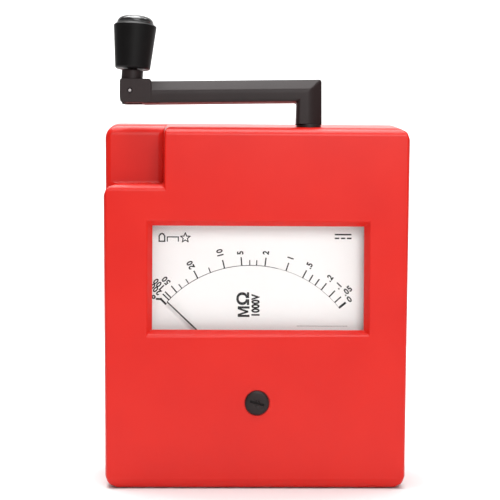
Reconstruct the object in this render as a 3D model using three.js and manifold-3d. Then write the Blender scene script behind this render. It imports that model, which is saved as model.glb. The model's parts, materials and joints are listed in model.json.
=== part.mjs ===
// Hand-cranked insulation resistance tester. Millimetres, +Z up.
// The tester stands on its bottom face, its dial facing -Y and its crank on top.
// The origin is the centre of the bounding box's bottom face.
import * as THREE from 'three';
import { mergeVertices } from 'three/addons/utils/BufferGeometryUtils.js';
import Module from 'manifold-3d';

const wasm = await Module();
wasm.setup();

// ---------- driving dimensions ----------
const slope = (degrees) => Math.tan(THREE.MathUtils.degToRad(degrees));
const FRONT_DEPTH = 42;
const REAR_DEPTH = 36;
const FACE = { top: 153.6, bottom: 149.7, height: 180 }; // the front face's widths and height
const FRONT_DRAFT = { side: slope(1.5), top: slope(7) };
const REAR_DRAFT = { side: slope(1.5), top: slope(1.5) };
const WALL = 2.5;
const CORNER_RADIUS = 6.5;
const EDGE_RADIUS = 3.2; // rounding between the faces and the side walls
const FOOT_HEIGHT = 2.5;
const SCREW_DOME = 1.5; // how far the zero adjust screw stands proud
const SEAM = 0.2; // open line between the two shells

const FRONT_Y = -(FRONT_DEPTH + REAR_DEPTH + FOOT_HEIGHT + SCREW_DOME) / 2 + SCREW_DOME;
const PARTING_Y = FRONT_Y + FRONT_DEPTH;
const REAR_Y = PARTING_Y + REAR_DEPTH;

// The notch at the top left of the front shell: where its walls meet the face, and their slope.
const NOTCH = { x: -46, z: 151.2, depth: 22, draft: slope(3.5) };

const WINDOW = { x: 1.0, z: 104.9, width: 106.1, height: 52, bevel: 2.6, depth: 3.6 };
const GLASS_THICKNESS = 2;
const DIAL = { width: 121, height: 66, thickness: 1, depth: 12 };

const CRANK = { x: 26.4, y: FRONT_Y + 11, width: 12, foot: 12.6 };
const BOSS_TOP = 182.2;
const COLUMN_BOTTOM = 182.45;
// The arm's levels at the column. From there it drops by its tilt towards the knob.
const ARM = { right: 32.7, bottom: 193.8, shoulder: 199.6, top: 205.1, ridge: 4.4, tilt: slope(1) };
const FORK = { left: -68.2, right: -52.9, bottom: 192.4, top: 204.5, gap: 5.6, radius: 3 };
const PIN = { x: -63.7, z: 198.6, radius: 0.8 };
const KNOB_LEAN = THREE.MathUtils.degToRad(3.2);
const KNOB = {
  offset: 0.35, bottom: 11.2, rim: 33.6, top: 38.6, bottomRadius: 8.9, rimRadius: 10.8, capRadius: 9.5,
};

const GEAR_MODULE = 0.8;
const TEETH = { drive: 18, idlerPinion: 12, idlerWheel: 44, rotor: 11 };
const IDLER = gearCentre(CRANK.x, CRANK.y, TEETH.drive + TEETH.idlerPinion, 106);
const ROTOR = gearCentre(IDLER.x, IDLER.y, TEETH.idlerWheel + TEETH.rotor, 124);
const PLATE = { lower: 139.5, upper: 168, thickness: 1.5 };

const PIVOT = { x: -2.7, z: 52.9 }; // the pointer's axis, along Y
const ADJUST = { x: 0.6, z: 42.7, radius: 6.4, throw: 1.5 };
const REST_ANGLE = THREE.MathUtils.degToRad(-46.7); // pointer at infinity, from straight up

const COLOURS = {
  red: 0xee3226, black: 0x262423, gloss: 0x141414, steel: 0xb9bcc0, brass: 0xc0a050, white: 0xf4f4f0,
  glass: 0xe8f0f2, rubber: 0x1b1b1b, iron: 0x55585c, copper: 0xb4622d, board: 0x2f6b3a, blue: 0x27406e,
};

// ---------- helpers ----------
function gearCentre(x, y, teethSum, degrees) {
  const distance = (GEAR_MODULE * teethSum) / 2;
  const angle = THREE.MathUtils.degToRad(degrees);
  return { x: x + distance * Math.cos(angle), y: y + distance * Math.sin(angle), angle };
}

function solid(geometry) {
  const bare = geometry.clone();
  bare.deleteAttribute('normal');
  bare.deleteAttribute('uv');
  const merged = mergeVertices(bare, 1e-4);
  const vertProperties = new Float32Array(merged.attributes.position.array);
  const triVerts = new Uint32Array(merged.index.array);
  return new wasm.Manifold(new wasm.Mesh({ numProp: 3, vertProperties, triVerts }));
}

function geometryOf(manifold) {
  const mesh = manifold.getMesh();
  const geometry = new THREE.BufferGeometry();
  geometry.setAttribute('position', new THREE.BufferAttribute(new Float32Array(mesh.vertProperties), 3));
  geometry.setIndex(new THREE.BufferAttribute(new Uint32Array(mesh.triVerts), 1));
  return geometry;
}

// A box from its lowest to its highest corner.
function block(x0, y0, z0, x1, y1, z1) {
  const geometry = new THREE.BoxGeometry(x1 - x0, y1 - y0, z1 - z0);
  return solid(geometry.translate((x0 + x1) / 2, (y0 + y1) / 2, (z0 + z1) / 2));
}

// A cylinder standing along Z from z0 to z1.
function rod(x, y, z0, z1, radius, sides = 24) {
  const geometry = new THREE.CylinderGeometry(radius, radius, z1 - z0, sides);
  return solid(geometry.rotateX(Math.PI / 2).translate(x, y, (z0 + z1) / 2));
}

// A cylinder lying along Y from y0 to y1.
function rodY(x, z, y0, y1, radius, sides = 24) {
  const geometry = new THREE.CylinderGeometry(radius, radius, y1 - y0, sides);
  return solid(geometry.translate(x, (y0 + y1) / 2, z));
}

// A cylinder lying along X from x0 to x1.
function rodX(y, z, x0, x1, radius, sides = 24) {
  const geometry = new THREE.CylinderGeometry(radius, radius, x1 - x0, sides);
  return solid(geometry.rotateZ(Math.PI / 2).translate((x0 + x1) / 2, y, z));
}

// An outline in the XZ plane, drawn through the thickness y0 to y1.
function slabY(shape, y0, y1, curveSegments = 6) {
  const geometry = new THREE.ExtrudeGeometry(shape, { depth: y1 - y0, bevelEnabled: false, curveSegments });
  return solid(geometry.rotateX(Math.PI / 2).translate(0, y1, 0));
}

// A body of revolution around Z from its [radius, z] points, first and last on the axis.
function turned(points, sides = 32) {
  const profile = points.map(([r, z]) => new THREE.Vector2(r, z));
  return solid(new THREE.LatheGeometry(profile, sides).rotateX(Math.PI / 2));
}

function roundedRect(x0, z0, x1, z1, lower, upper) {
  const shape = new THREE.Shape();
  shape.moveTo(x0 + lower, z0);
  shape.lineTo(x1 - lower, z0);
  shape.absarc(x1 - lower, z0 + lower, lower, -Math.PI / 2, 0);
  shape.lineTo(x1, z1 - upper);
  shape.absarc(x1 - upper, z1 - upper, upper, 0, Math.PI / 2);
  shape.lineTo(x0 + upper, z1);
  shape.absarc(x0 + upper, z1 - upper, upper, Math.PI / 2, Math.PI);
  shape.lineTo(x0, z0 + lower);
  shape.absarc(x0 + lower, z0 + lower, lower, Math.PI, Math.PI * 1.5);
  return shape;
}

const group = new THREE.Group();

function add(name, manifold, colour, roughness = 0.5, metalness = 0, parent = group) {
  const material = new THREE.MeshStandardMaterial({ color: colour, roughness, metalness });
  const mesh = new THREE.Mesh(manifold.isBufferGeometry ? manifold : geometryOf(manifold), material);
  mesh.name = name;
  parent.add(mesh);
  return mesh;
}

// ---------- case shells ----------
// Half the width at the top, half the width at the bottom, and the height, of the case's section.
const FRONT_SECTION = { half: FACE.top / 2, foot: FACE.bottom / 2, height: FACE.height };
const PARTING_SECTION = grownSection(FRONT_SECTION, FRONT_DRAFT, FRONT_DEPTH);
const REAR_SECTION = grownSection(PARTING_SECTION, REAR_DRAFT, -REAR_DEPTH);

function grownSection({ half, foot, height }, draft, depth) {
  const grown = 1 + (draft.side * depth) / half;
  return { half: half * grown, foot: foot * grown, height: height + draft.top * depth };
}

// A shell's outer or inner form: a section with rounded corners and a rounded face edge, which grows
// by its draft from its face towards the parting plane. Its bottom stays flat. direction is the way
// along Y from the face into the case.
function tub(faceY, direction, section, draft, inset) {
  const radius = CORNER_RADIUS - inset;
  const edge = EDGE_RADIUS - inset / 2;
  const { half, foot, height } = section;
  const shape = roundedRect(-half + inset, inset, half - inset, height - inset, radius, radius);
  const length = FRONT_DEPTH + 3 * edge;
  const geometry = new THREE.ExtrudeGeometry(shape, {
    depth: length, bevelEnabled: true, bevelThickness: edge, bevelSize: edge, bevelOffset: -edge,
    bevelSegments: 3, curveSegments: 4,
  });
  geometry.rotateX(Math.PI / 2);
  if (direction > 0) geometry.translate(0, faceY + inset + length + edge, 0);
  else geometry.translate(0, faceY - inset - edge, 0);
  const position = geometry.attributes.position;
  for (let i = 0; i < position.count; i += 1) {
    const depth = Math.abs(position.getY(i) - faceY);
    const level = position.getZ(i);
    const narrowing = (foot + ((half - foot) * level) / height) / half;
    position.setX(i, position.getX(i) * narrowing * (1 + (draft.side * depth) / half));
    position.setZ(i, level * (1 + (draft.top * depth) / height));
  }
  const cut = direction > 0
    ? block(-200, PARTING_Y - SEAM / 2, -50, 200, PARTING_Y + 100, 300)
    : block(-200, PARTING_Y - 100, -50, 200, PARTING_Y + SEAM / 2, 300);
  return solid(geometry).subtract(cut);
}

const SCREW_PLACES = [[-66, 13], [66, 13], [-38, 168], [66, 168]];

// The notch as a solid, from in front of the case to its floor, grown outwards by the given margin.
function notchForm(margin) {
  const outline = roundedRect(-120, NOTCH.z - margin, NOTCH.x + margin, 260, 3, 3);
  const floor = FRONT_Y + NOTCH.depth + margin;
  const geometry = new THREE.ExtrudeGeometry(outline, { depth: 60, bevelEnabled: false, curveSegments: 4 });
  geometry.rotateX(Math.PI / 2).translate(0, floor, 0);
  const position = geometry.attributes.position;
  for (let i = 0; i < position.count; i += 1) {
    const shift = NOTCH.draft * (position.getY(i) - FRONT_Y);
    if (position.getX(i) > -100) position.setX(i, position.getX(i) - shift);
    if (position.getZ(i) < 200) position.setZ(i, position.getZ(i) + shift);
  }
  return solid(geometry);
}

function frontCase() {
  const hollow = tub(FRONT_Y, 1, FRONT_SECTION, FRONT_DRAFT, WALL).subtract(notchForm(WALL));
  let shell = tub(FRONT_Y, 1, FRONT_SECTION, FRONT_DRAFT, 0).subtract(notchForm(0)).subtract(hollow);
  const { x, z, width, height, bevel, depth } = WINDOW;
  const frame = block(x - width / 2 - 6, FRONT_Y + 1, z - height / 2 - 6,
    x + width / 2 + 6, FRONT_Y + depth + 0.6, z + height / 2 + 6);
  shell = shell.add(frame);
  for (const [sx, sz] of SCREW_PLACES) {
    shell = shell.add(rodY(sx, sz, FRONT_Y + 1.5, PARTING_Y - SEAM / 2, 4, 16));
    shell = shell.subtract(rodY(sx, sz, PARTING_Y - 16, PARTING_Y + 1, 1.4, 12));
  }
  shell = shell.subtract(windowCut(x, z, width, height, bevel, depth));
  shell = shell.subtract(rodY(ADJUST.x, ADJUST.z, FRONT_Y - 1, FRONT_Y + 4, 3.2));
  shell = shell.add(rod(CRANK.x, CRANK.y, FACE.height - 8, BOSS_TOP, CRANK.foot / 2));
  return shell.subtract(rod(CRANK.x, CRANK.y, FACE.height - 10, BOSS_TOP + 1, 5));
}

// The dial opening: a straight hole with a sloping bevel in front of it.
function windowCut(x, z, width, height, bevel, depth) {
  const hole = block(x - width / 2, FRONT_Y - 1, z - height / 2, x + width / 2, FRONT_Y + 8, z + height / 2);
  const bevelled = new THREE.BoxGeometry(1, depth, 1).translate(x, FRONT_Y + depth / 2, z);
  const position = bevelled.attributes.position;
  for (let i = 0; i < position.count; i += 1) {
    const wide = position.getY(i) < FRONT_Y + depth / 2 ? bevel : 0;
    const side = Math.sign(position.getX(i) - x);
    const level = Math.sign(position.getZ(i) - z);
    position.setXYZ(i, x + side * (width / 2 + wide), position.getY(i), z + level * (height / 2 + wide));
  }
  return hole.add(solid(bevelled));
}

const SOCKETS = [['line', 68], ['earth', 44]];
const SOCKET_Y = PARTING_Y + 17;
const SOCKET_FACE = -73.6;

function rearCase() {
  let shell = tub(REAR_Y, -1, REAR_SECTION, REAR_DRAFT, 0);
  shell = shell.subtract(tub(REAR_Y, -1, REAR_SECTION, REAR_DRAFT, WALL));
  for (const [sx, sz] of SCREW_PLACES) {
    shell = shell.add(rodY(sx, sz, PARTING_Y + SEAM / 2, REAR_Y - 1, 5, 16));
    shell = shell.subtract(rodY(sx, sz, PARTING_Y - 1, REAR_Y + 1, 2.1, 12));
    shell = shell.subtract(rodY(sx, sz, REAR_Y - 8, REAR_Y + 1, 4.1, 16));
  }
  for (const [, z] of SOCKETS) {
    shell = shell.add(rodX(SOCKET_Y, z, -75.4, -71.5, 9, 24));
    shell = shell.subtract(rodX(SOCKET_Y, z, -90, -70, 6.1, 24));
  }
  return shell;
}

add('front_case', frontCase(), COLOURS.red, 0.42);
add('rear_case', rearCase(), COLOURS.red, 0.42);

SCREW_PLACES.forEach(([x, z], i) => {
  const head = rodY(x, z, REAR_Y - 7.8, REAR_Y - 5.2, 3.6, 16);
  const slot = block(x - 3, REAR_Y - 6.2, z - 0.5, x + 3, REAR_Y - 5, z + 0.5);
  const screw = head.add(rodY(x, z, PARTING_Y - 12, REAR_Y - 7, 1.25, 12)).subtract(slot);
  add(`case_screw_${i + 1}`, screw, COLOURS.steel, 0.3, 1);
});

[[-56, 30], [56, 30], [-56, 150], [56, 150]].forEach(([x, z], i) => {
  add(`foot_${i + 1}`, rodY(x, z, REAR_Y + 0.05, REAR_Y + FOOT_HEIGHT, 6, 20), COLOURS.rubber, 0.9);
});

// ---------- window and dial ----------
const GLASS_Y = FRONT_Y + WINDOW.depth + 0.7;
const DIAL_Y = FRONT_Y + DIAL.depth;
add('dial_window', block(WINDOW.x - WINDOW.width / 2 - 3.5, GLASS_Y, WINDOW.z - WINDOW.height / 2 - 3.5,
  WINDOW.x + WINDOW.width / 2 + 3.5, GLASS_Y + GLASS_THICKNESS, WINDOW.z + WINDOW.height / 2 + 3.5),
COLOURS.glass, 0.05);

function dialPlate() {
  const z0 = WINDOW.z - DIAL.height / 2;
  let plate = block(WINDOW.x - DIAL.width / 2, DIAL_Y, z0, WINDOW.x + DIAL.width / 2, DIAL_Y + DIAL.thickness,
    z0 + DIAL.height);
  for (const side of [-1, 1]) {
    plate = plate.subtract(rodY(WINDOW.x + side * 57.5, WINDOW.z, DIAL_Y - 1, DIAL_Y + 2, 1.3, 12));
  }
  return plate;
}
add('dial_plate', dialPlate(), COLOURS.white, 0.6);

const FRAME_Y = DIAL_Y + DIAL.thickness + 0.2;
function meterFrame() {
  const outer = slabY(roundedRect(WINDOW.x - 61, 28, WINDOW.x + 61, 138.5, 3, 3), FRAME_Y, FRAME_Y + 2, 2);
  const opening = slabY(roundedRect(PIVOT.x - 17, 31.5, PIVOT.x + 17, 68.5, 3, 3), FRAME_Y - 1, FRAME_Y + 4, 2);
  let frame = outer.subtract(opening);
  for (const side of [-1, 1]) {
    const x = WINDOW.x + side * 57.5;
    frame = frame.subtract(rodY(x, WINDOW.z, FRAME_Y - 1, FRAME_Y + 3, 0.9, 12));
    frame = frame.subtract(rodY(PIVOT.x + side * 20.5, PIVOT.z, FRAME_Y - 1, FRAME_Y + 3, 1.9, 12));
  }
  return frame;
}
add('meter_frame', meterFrame(), COLOURS.black, 0.6);

['left', 'right'].forEach((word, i) => {
  const x = WINDOW.x + (i * 2 - 1) * 57.5;
  const screw = rodY(x, WINDOW.z, DIAL_Y - 1.2, DIAL_Y - 0.05, 2.2, 12)
    .add(rodY(x, WINDOW.z, DIAL_Y - 0.5, FRAME_Y + 1.6, 0.8, 10));
  add(`dial_screw_${word}`, screw, COLOURS.steel, 0.3, 1);
});

// ---------- moving-coil meter ----------
const COIL = { front: -25, rear: -4, half: 8.2, wire: 1.4 };
const CORE = { front: -20, rear: -9, radius: 6.3 };

['left', 'right'].forEach((word, i) => {
  add(`movement_post_${word}`, rodY(PIVOT.x + (i * 2 - 1) * 20.5, PIVOT.z, -33.1, -1.6, 1.8, 12),
    COLOURS.brass, 0.35, 1);
});

function ringY(y0, y1, inner, outer, sides) {
  return rodY(PIVOT.x, PIVOT.z, y0, y1, outer, sides).subtract(rodY(PIVOT.x, PIVOT.z, y0 - 1, y1 + 1, inner, sides));
}
add('yoke_ring', ringY(CORE.front, CORE.rear, 10.6, 18, 32), COLOURS.iron, 0.45, 1);

// Strips across the core's ends hold it in the ring, square to the middle of the coil's swing.
const STRIP_ANGLE = REST_ANGLE + THREE.MathUtils.degToRad(48.7);
function turnedAboutPivot(manifold, angle) {
  const geometry = geometryOf(manifold);
  geometry.translate(-PIVOT.x, 0, -PIVOT.z).rotateY(angle).translate(PIVOT.x, 0, PIVOT.z);
  return geometry;
}
function strip(y0, y1) {
  return solid(turnedAboutPivot(block(PIVOT.x - 2, y0, PIVOT.z - 16, PIVOT.x + 2, y1, PIVOT.z + 16), STRIP_ANGLE));
}
add('core_magnet', rodY(PIVOT.x, PIVOT.z, CORE.front - 0.3, CORE.rear + 0.3, CORE.radius, 24)
  .add(strip(CORE.front - 1.6, CORE.front - 0.1)).add(strip(CORE.rear + 0.1, CORE.rear + 1.6)), COLOURS.iron, 0.3, 1);

// Each bridge carries the jewel screw that one end of the arbor turns in.
function bridge(y0, y1, jewelFrom, jewelTo) {
  const outline = roundedRect(PIVOT.x - 23.5, PIVOT.z - 3, PIVOT.x + 23.5, PIVOT.z + 3, 2.5, 2.5);
  return slabY(outline, y0, y1, 2).add(rodY(PIVOT.x, PIVOT.z, jewelFrom, jewelTo, 1.7, 16));
}
add('bridge_front', bridge(-34.4, -33.2, -36.2, -33), COLOURS.brass, 0.35, 1);
add('bridge_rear', bridge(-1.5, -0.3, -2.4, 0.8), COLOURS.brass, 0.35, 1);

const pointerGroup = new THREE.Group();
pointerGroup.position.set(PIVOT.x, 0, PIVOT.z);
pointerGroup.rotation.y = REST_ANGLE;
group.add(pointerGroup);

// The pointer is drawn straight up from its own pivot, and its group turns it to its rest angle.
function pointer() {
  const blade = new THREE.Shape();
  blade.moveTo(-1.3, -11);
  blade.lineTo(1.3, -11);
  blade.lineTo(0.5, 4);
  blade.lineTo(0.32, 57.9);
  blade.lineTo(-0.32, 57.9);
  blade.lineTo(-0.5, 4);
  const weight = block(-2.6, -30.6, -13.5, 2.6, -28.6, -10);
  return slabY(blade, -30.4, -29.9).add(rodY(0, 0, -30.6, -29.4, 2.2, 16)).add(weight)
    .subtract(rodY(0, 0, -32, -28, 0.85, 12));
}
add('pointer', pointer(), COLOURS.gloss, 0.5, 0, pointerGroup);

// The coil on its frame, with the arbor's two ends fixed to it.
function movingCoil() {
  const { front, rear, half, wire } = COIL;
  const outer = block(-half - wire / 2, front, -2.5, half + wire / 2, rear, 2.5);
  return outer.subtract(block(-half + wire / 2, front + wire, -5, half - wire / 2, rear - wire, 5))
    .add(rodY(0, 0, -32.7, front + 0.5, 0.75, 12)).add(rodY(0, 0, rear - 0.5, -2.7, 0.75, 12));
}
add('moving_coil', movingCoil(), COLOURS.copper, 0.4, 1, pointerGroup);

// A flat spiral ribbon, from just outside the arbor to its outer end.
function hairspring(y) {
  const turns = 3.2;
  const steps = 56;
  const inner = [];
  const outer = [];
  for (let i = 0; i <= steps; i += 1) {
    const share = i / steps;
    const angle = share * turns * Math.PI * 2;
    const radius = 0.9 + share * 4.4;
    inner.push(new THREE.Vector2(radius * Math.cos(angle), radius * Math.sin(angle)));
    outer.push(new THREE.Vector2((radius + 0.22) * Math.cos(angle), (radius + 0.22) * Math.sin(angle)));
  }
  return slabY(new THREE.Shape([...inner, ...outer.reverse()]), y, y + 0.5);
}
add('hairspring_front', hairspring(-31.9), COLOURS.brass, 0.35, 1, pointerGroup);
add('hairspring_rear', hairspring(-3.4), COLOURS.brass, 0.35, 1, pointerGroup);

// ---------- zero adjuster ----------
function adjustScrew() {
  const { radius } = ADJUST;
  const dome = turned([[0, 0], [radius, 0], [radius, 0.5], [radius - 0.9, 1.1], [3, 1.4], [0, SCREW_DOME]], 24);
  const head = solid(geometryOf(dome).rotateX(Math.PI / 2).translate(ADJUST.x, FRONT_Y - 0.05, ADJUST.z));
  const slot = block(ADJUST.x - 3.7, FRONT_Y - 4, ADJUST.z - 0.5, ADJUST.x + 3.7, FRONT_Y - 0.7, ADJUST.z + 0.5);
  const pinZ = ADJUST.z + ADJUST.throw;
  return head.subtract(slot).add(rodY(ADJUST.x, ADJUST.z, FRONT_Y - 0.2, -36.2, 2.9, 16))
    .add(rodY(ADJUST.x, pinZ, -36.5, -34.5, 0.6, 12));
}
add('zero_adjust_screw', adjustScrew(), COLOURS.black, 0.35);

// The lever turns about the front jewel screw. Its fork rides on the adjuster's eccentric pin.
function zeroLever() {
  const reach = Math.hypot(ADJUST.x - PIVOT.x, PIVOT.z - ADJUST.z - ADJUST.throw);
  const tail = block(-1.9, -35.6, -reach - 1.6, 1.9, -34.8, -2.4);
  const fork = block(-0.85, -37, -reach - 3, 0.85, -34, -reach + 1.2);
  const post = block(-0.6, -35.6, 2.6, 0.6, -34.8, 7.2).add(block(-0.6, -35.6, 6.2, 0.6, -31.4, 7.2));
  return rodY(0, 0, -35.6, -34.8, 3.2, 20).add(tail).add(post)
    .subtract(fork).subtract(rodY(0, 0, -37, -34, 1.8, 16));
}
const leverGroup = new THREE.Group();
leverGroup.position.set(PIVOT.x, 0, PIVOT.z);
leverGroup.rotation.y = -Math.atan2(ADJUST.x - PIVOT.x, PIVOT.z - ADJUST.z - ADJUST.throw);
group.add(leverGroup);
add('zero_lever', zeroLever(), COLOURS.brass, 0.4, 1, leverGroup);

// ---------- crank, spindle and knob ----------
const CRANK_HALF = CRANK.width / 2;

// The bar keeps its section and drops by the tilt from the column to the fork.
function armBar() {
  const section = new THREE.Shape();
  section.moveTo(-CRANK_HALF, ARM.bottom);
  section.lineTo(CRANK_HALF, ARM.bottom);
  section.lineTo(CRANK_HALF, ARM.shoulder);
  section.lineTo(ARM.ridge / 2, ARM.top);
  section.lineTo(-ARM.ridge / 2, ARM.top);
  section.lineTo(-CRANK_HALF, ARM.shoulder);
  const bar = new THREE.ExtrudeGeometry(section, { depth: ARM.right - FORK.right + 4, bevelEnabled: false });
  bar.rotateX(Math.PI / 2).rotateZ(Math.PI / 2).translate(FORK.right - 4, CRANK.y, 0);
  const position = bar.attributes.position;
  for (let i = 0; i < position.count; i += 1) {
    position.setZ(i, position.getZ(i) + ARM.tilt * (position.getX(i) - CRANK.x));
  }
  return solid(bar);
}

function crankArm() {
  const outline = roundedRect(FORK.left, FORK.bottom, FORK.right, FORK.top, FORK.radius, FORK.radius);
  const height = ARM.bottom + 2 - COLUMN_BOTTOM;
  const column = solid(new THREE.CylinderGeometry(CRANK_HALF, CRANK.foot / 2, height, 24)
    .rotateX(Math.PI / 2).translate(CRANK.x, CRANK.y, COLUMN_BOTTOM + height / 2));
  const gapEnd = PIN.x + 5.8;
  return armBar().add(slabY(outline, CRANK.y - CRANK_HALF, CRANK.y + CRANK_HALF, 3)).add(column)
    .subtract(block(FORK.left - 5, CRANK.y - FORK.gap / 2, 180, gapEnd, CRANK.y + FORK.gap / 2, 220))
    .subtract(rodY(PIN.x, PIN.z, CRANK.y - 10, CRANK.y + 10, PIN.radius + 0.05, 12))
    .subtract(rod(CRANK.x, CRANK.y, COLUMN_BOTTOM - 1, 196.3, 3.1, 20));
}
add('crank_arm', crankArm(), COLOURS.black, 0.5);
add('crank_shaft', rod(CRANK.x, CRANK.y, 155.5, 196, 3, 20), COLOURS.steel, 0.3, 1);
add('crank_bush', rod(CRANK.x, CRANK.y, FACE.height - 8, BOSS_TOP - 0.1, 4.9)
  .subtract(rod(CRANK.x, CRANK.y, 160, 190, 3.05, 20)), COLOURS.brass, 0.35, 1);
add('fold_pin', rodY(PIN.x, PIN.z, CRANK.y - CRANK_HALF - 0.15, CRANK.y + CRANK_HALF, PIN.radius, 12),
  COLOURS.steel, 0.25, 1);

// The spindle and the knob are drawn upright, the fold pin at the origin and the knob's axis at its
// offset, and their group leans.
const knobGroup = new THREE.Group();
knobGroup.position.set(PIN.x, CRANK.y, PIN.z);
knobGroup.rotation.y = KNOB_LEAN;
group.add(knobGroup);

function knobSpindle() {
  const tongue = rodY(0, 0, -2.5, 2.5, 5.2, 24).add(block(-5.2, -2.5, 0, 5.4, 2.5, 8));
  const collar = rod(KNOB.offset, 0, 7.3, 10.7, 5.45, 24);
  return tongue.add(collar).add(rod(KNOB.offset, 0, 10, KNOB.rim - 1.5, 2.5, 16))
    .subtract(rodY(0, 0, -5, 5, PIN.radius + 0.1, 12));
}
add('knob_spindle', knobSpindle(), COLOURS.black, 0.5, 0, knobGroup);

function crankKnob() {
  const { bottom, rim, bottomRadius, rimRadius } = KNOB;
  const body = turned([[0, bottom], [bottomRadius - 0.6, bottom], [bottomRadius, bottom + 0.8],
    [rimRadius, rim - 1], [rimRadius - 0.9, rim], [0, rim]], 32);
  return body.subtract(rod(0, 0, 0, rim - 1, 2.6, 16)).subtract(rod(0, 0, rim - 2, rim + 1, 5, 20))
    .translate([KNOB.offset, 0, 0]);
}
add('crank_knob', crankKnob(), COLOURS.black, 0.45, 0, knobGroup);

function knobCap() {
  const { rim, top, capRadius } = KNOB;
  const points = [[0, rim - 0.7], [4.8, rim - 0.7], [4.8, rim + 0.1], [capRadius, rim + 0.1]];
  for (let i = 1; i <= 6; i += 1) {
    const angle = (i / 6) * (Math.PI / 2);
    points.push([capRadius * Math.cos(angle), rim + 0.1 + (top - rim - 0.1) * Math.sin(angle)]);
  }
  points[points.length - 1][0] = 0;
  return turned(points, 32).translate([KNOB.offset, 0, 0]);
}
add('knob_cap', knobCap(), COLOURS.gloss, 0.2, 0, knobGroup);

// ---------- gear train ----------
// Involute flanks through three radii, thinned for backlash. A tooth is centred on the given angle.
function gear(x, y, teeth, z0, z1, angle, bore) {
  const pitch = (GEAR_MODULE * teeth) / 2;
  const base = pitch * Math.cos(THREE.MathUtils.degToRad(20));
  const tip = pitch + GEAR_MODULE * 0.95;
  const root = pitch - GEAR_MODULE * 1.3;
  const thin = 0.14 / pitch;
  const involute = (r) => Math.sqrt(Math.max((r / base) ** 2 - 1, 0)) - Math.acos(Math.min(base / r, 1));
  const halfAt = (r) => Math.PI / (2 * teeth) + involute(pitch) - involute(Math.max(r, base)) - thin;
  const points = [];
  for (let i = 0; i < teeth; i += 1) {
    const centre = angle + (i * Math.PI * 2) / teeth;
    for (const [r, side] of [[root, -1], [pitch, -1], [tip, -1], [tip, 1], [pitch, 1], [root, 1]]) {
      const a = centre + side * halfAt(r);
      points.push(new THREE.Vector2(r * Math.cos(a), r * Math.sin(a)));
    }
  }
  const shape = new THREE.Shape(points);
  const wheel = new THREE.ExtrudeGeometry(shape, { depth: z1 - z0, bevelEnabled: false });
  return solid(wheel.translate(x, y, z0)).subtract(rod(x, y, z0 - 1, z1 + 1, bore, 20));
}

const facing = IDLER.angle;
const gap = (teeth) => Math.PI / teeth;
add('drive_gear', gear(CRANK.x, CRANK.y, TEETH.drive, 158, 164, facing, 3.08), COLOURS.brass, 0.4, 1);
const pinion = gear(IDLER.x, IDLER.y, TEETH.idlerPinion, 150.9, 165, facing + Math.PI + gap(TEETH.idlerPinion), 1.58);
const wheel = gear(IDLER.x, IDLER.y, TEETH.idlerWheel, 146.5, 151, ROTOR.angle, 1.58);
add('idler_gear', pinion.add(wheel), COLOURS.brass, 0.4, 1);
add('idler_arbor', rod(IDLER.x, IDLER.y, PLATE.lower + 0.2, PLATE.upper + 1.3, 1.5, 16), COLOURS.steel, 0.3, 1);
add('rotor_pinion', gear(ROTOR.x, ROTOR.y, TEETH.rotor, 145, 152.5, ROTOR.angle + Math.PI + gap(TEETH.rotor), 2.1),
  COLOURS.brass, 0.4, 1);

const PILLARS = [[-8, -27], [44, 20], [-8, 20]];
function gearPlate(z, holes) {
  let plate = block(-13, -34, z, 49, 25, z + PLATE.thickness);
  plate = plate.subtract(rod(IDLER.x, IDLER.y, z - 1, z + 3, 1.56, 16));
  plate = plate.subtract(rod(ROTOR.x, ROTOR.y, z - 1, z + 3, 2.4, 16));
  plate = plate.subtract(rod(CRANK.x, CRANK.y, z - 1, z + 3, 3.06, 20));
  for (const [x, y] of PILLARS) {
    if (holes) plate = plate.subtract(rod(x, y, z - 1, z + 3, 1.6, 12));
    else plate = plate.add(rod(x, y, z + 1, PLATE.upper - 0.1, 3, 16)).add(rod(x, y, z + 1, PLATE.upper + 1.4, 1.5, 12));
  }
  return plate;
}
add('gear_plate_lower', gearPlate(PLATE.lower, false), COLOURS.steel, 0.4, 1);
add('gear_plate_upper', gearPlate(PLATE.upper, true), COLOURS.steel, 0.4, 1);

// ---------- generator ----------
const STATOR = { outer: 20.5, inner: 17, pole: 12.6, low: 97, high: 119 };
add('rotor_shaft', rod(ROTOR.x, ROTOR.y, 86.5, 154, 2, 16), COLOURS.steel, 0.3, 1);
add('rotor_magnet', rod(ROTOR.x, ROTOR.y, 94, 122, 12, 32).subtract(rod(ROTOR.x, ROTOR.y, 90, 125, 2.05, 16)),
  COLOURS.iron, 0.35, 1);

function statorCore() {
  const { outer, inner, pole, low, high } = STATOR;
  let core = rod(ROTOR.x, ROTOR.y, low, high, outer, 32).subtract(rod(ROTOR.x, ROTOR.y, low - 1, high + 1, inner, 32));
  core = core.add(block(ROTOR.x - inner - 1, ROTOR.y - 3, low, ROTOR.x + inner + 1, ROTOR.y + 3, high));
  core = core.add(block(ROTOR.x - 3, ROTOR.y - inner - 1, low, ROTOR.x + 3, ROTOR.y + inner + 1, high));
  return core.subtract(rod(ROTOR.x, ROTOR.y, low - 1, high + 1, pole, 32));
}
add('stator_core', statorCore(), COLOURS.iron, 0.5, 1);

// Each coil is a ring around one pole, drawn on the +X pole and turned to its place.
for (let i = 0; i < 4; i += 1) {
  const ring = block(13.1, -5.2, STATOR.low - 2.3, 15.8, 5.2, STATOR.high + 2.3)
    .subtract(block(12, -3.2, STATOR.low - 0.2, 18, 3.2, STATOR.high + 0.2));
  const coil = add(`stator_coil_${i + 1}`, ring, COLOURS.copper, 0.4, 1);
  coil.position.set(ROTOR.x, ROTOR.y, 0);
  coil.rotation.z = (i * Math.PI) / 2;
}

const CORNERS = [[1, 1], [-1, 1], [-1, -1], [1, -1]];
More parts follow.
